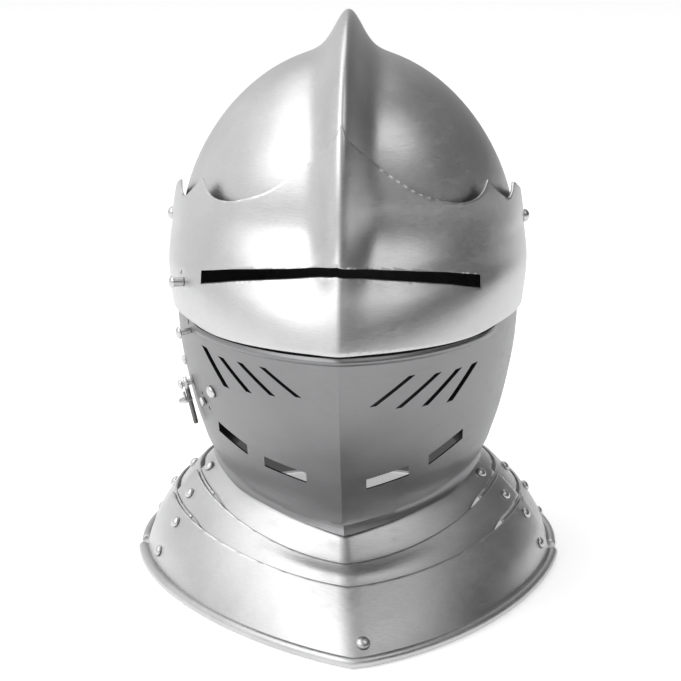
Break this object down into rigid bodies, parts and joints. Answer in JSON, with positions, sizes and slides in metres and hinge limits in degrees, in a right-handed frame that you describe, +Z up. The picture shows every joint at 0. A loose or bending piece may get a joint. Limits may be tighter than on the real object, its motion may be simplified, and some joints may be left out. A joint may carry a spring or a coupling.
{
  "type": "close helmet",
  "caption": "Close helmet of plate steel with a high comb, scalloped visor, pierced bevor, flared gorget lames and a swivel catch; visor and bevor lift on side pivots.",
  "frame": {"origin": "centre of the bounding box on the plane that the rolled rim stands on", "axes": "+Z up, the face towards -Y, the wearer's left towards +X"},
  "size_m": [0.2598, 0.32, 0.332],
  "materials": {
    "plate": "satin",
    "fittings": "polished"
  },
  "bodies": {
    "skull": {"skull": "plate", "pivot_rivet_left": "fittings", "pivot_rivet_right": "fittings", "back_lame_1": "plate", "back_lame_2": "plate", "back_lame_3": "plate", "back_rivet_right_1": "fittings", "back_rivet_right_2": "fittings", "back_rivet_right_3": "fittings", "back_rivet_left_1": "fittings", "back_rivet_left_2": "fittings", "back_rivet_left_3": "fittings"},
    "bevor": {"bevor": "plate", "bevor_peg": "fittings", "side_rivet": "fittings", "keeper_stud": "fittings", "catch_peg": "fittings", "spring_button": "fittings", "front_lame_1": "plate", "front_lame_2": "plate", "front_lame_3": "plate", "centre_rivet": "fittings", "front_rivet_right_1": "fittings", "front_rivet_right_2": "fittings", "front_rivet_right_3": "fittings", "front_rivet_right_4": "fittings", "front_rivet_left_1": "fittings", "front_rivet_left_2": "fittings", "front_rivet_left_3": "fittings", "front_rivet_left_4": "fittings"},
    "visor": {"visor": "plate", "visor_peg": "fittings"},
    "hook": {"catch_hook": "fittings"}
  },
  "joints": [
    {"name": "bevor_lift", "type": "hinge", "parent": "skull", "child": "bevor", "pos_m": [-0.00006, 0.01502, 0.212], "axis": [-1, 0, 0], "range_deg": [0, 40]},
    {"name": "visor_lift", "type": "hinge", "parent": "bevor", "child": "visor", "pos_m": [-0.00006, 0.01502, 0.212], "axis": [-1, 0, 0], "range_deg": [0, 45]},
    {"name": "hook_swivel", "type": "hinge", "parent": "bevor", "child": "hook", "pos_m": [-0.09144, -0.0185, 0.11762], "axis": [-0.9326, -0.2851, -0.2214], "range_deg": [-60, 60]}
  ]
}
